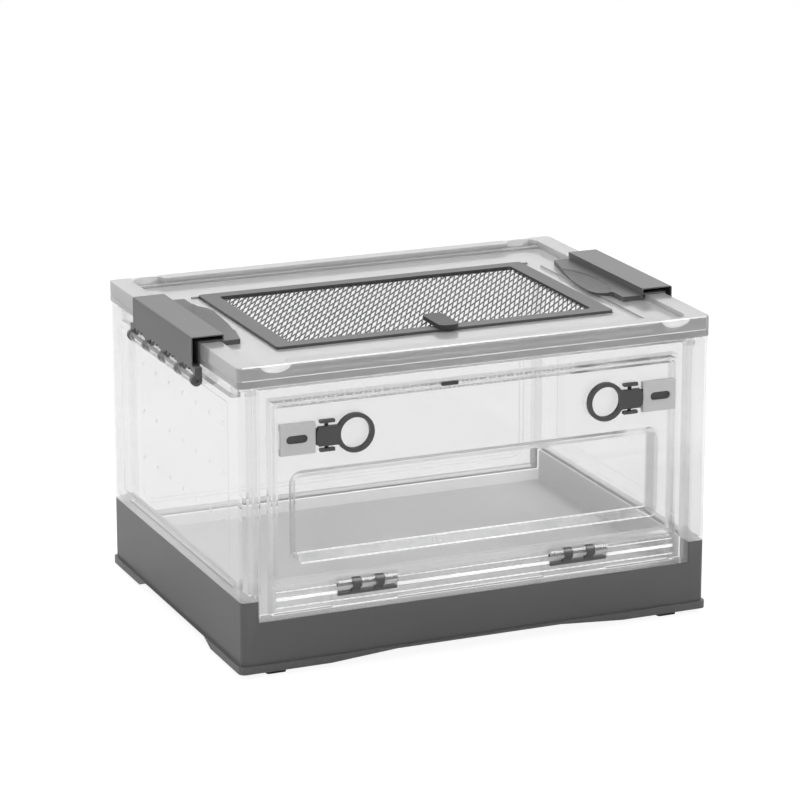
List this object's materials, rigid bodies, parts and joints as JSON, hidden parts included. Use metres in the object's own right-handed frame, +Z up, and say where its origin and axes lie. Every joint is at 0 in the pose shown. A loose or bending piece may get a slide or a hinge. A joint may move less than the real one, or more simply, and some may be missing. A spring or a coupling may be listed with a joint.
{
  "type": "reptile feeding box",
  "caption": "Clear reptile feeding box on a dark base, with folding front and back walls, a front door with ring latches, and a clamped lid with a mesh hatch.",
  "frame": {"origin": "middle of the footprint, on the plane that the feet stand on", "axes": "+X to the right and +Y to the back as seen from the door, +Z up; the door faces -Y"},
  "size_m": [0.4184, 0.3036, 0.2515],
  "materials": {
    "clear_plastic": "clear, slightly hazy moulded plastic with a smooth face",
    "dark_plastic": "near-black moulded plastic, fine satin",
    "grey_plastic": "mid-grey moulded plastic, satin",
    "cover_plastic": "pale grey moulded plastic, satin",
    "liner_plastic": "light grey moulded plastic, matte",
    "net": "dark grey diamond net, satin",
    "rubber": "black rubber, matte",
    "pin_steel": "plain steel rod"
  },
  "bodies": {
    "box": {"base_tray": "dark_plastic", "floor_liner": "liner_plastic", "foot_front_left": "rubber", "foot_front_right": "rubber", "foot_back_left": "rubber", "foot_back_right": "rubber", "side_wall_left": "clear_plastic", "side_wall_right": "clear_plastic", "top_rim": "clear_plastic", "lid": "clear_plastic", "hatch_pin_left": "pin_steel", "hatch_pin_right": "pin_steel", "lid_clamp_pin_left": "pin_steel", "lid_clamp_pin_right": "pin_steel"},
    "front_wall": {"front_frame": "clear_plastic", "door_bumper": "rubber", "door_hinge_pin_left": "pin_steel", "door_hinge_pin_right": "pin_steel"},
    "door": {"front_door": "clear_plastic", "latch_plate_left": "cover_plastic", "latch_plate_right": "cover_plastic", "latch_bracket_left": "dark_plastic", "latch_bracket_right": "dark_plastic"},
    "latch_left": {"latch_slider_left": "dark_plastic"},
    "latch_right": {"latch_slider_right": "dark_plastic"},
    "rear_wall": {"back_wall": "clear_plastic"},
    "hatch": {"hatch_frame": "grey_plastic", "hatch_mesh": "net", "hatch_tab": "dark_plastic"},
    "clamp_left": {"lid_clamp_left": "grey_plastic"},
    "clamp_right": {"lid_clamp_right": "grey_plastic"}
  },
  "joints": [
    {"name": "front_wall_fold", "type": "hinge", "parent": "box", "child": "front_wall", "pos_m": [0, -0.138, 0.223], "axis": [1, 0, 0], "range_deg": [0, 88]},
    {"name": "rear_wall_fold", "type": "hinge", "parent": "box", "child": "rear_wall", "pos_m": [0, 0.138, 0.223], "axis": [1, 0, 0], "range_deg": [-88, 0]},
    {"name": "front_door_swing", "type": "hinge", "parent": "front_wall", "child": "door", "pos_m": [0, -0.1465, 0.0655], "axis": [1, 0, 0], "range_deg": [0, 105]},
    {"name": "door_latch_left_slide", "type": "slide", "parent": "door", "child": "latch_left", "axis": [1, 0, 0], "range_m": [0, 0.009]},
    {"name": "door_latch_right_slide", "type": "slide", "parent": "door", "child": "latch_right", "axis": [-1, 0, 0], "range_m": [0, 0.009]},
    {"name": "mesh_hatch_lift", "type": "hinge", "parent": "box", "child": "hatch", "pos_m": [0, 0.086, 0.2404], "axis": [-1, 0, 0], "range_deg": [0, 95]},
    {"name": "lid_clamp_left_swing", "type": "hinge", "parent": "box", "child": "clamp_left", "pos_m": [-0.2045, 0, 0.219], "axis": [0, -1, 0], "range_deg": [0, 165]},
    {"name": "lid_clamp_right_swing", "type": "hinge", "parent": "box", "child": "clamp_right", "pos_m": [0.2045, 0, 0.219], "axis": [0, 1, 0], "range_deg": [0, 165]}
  ]
}
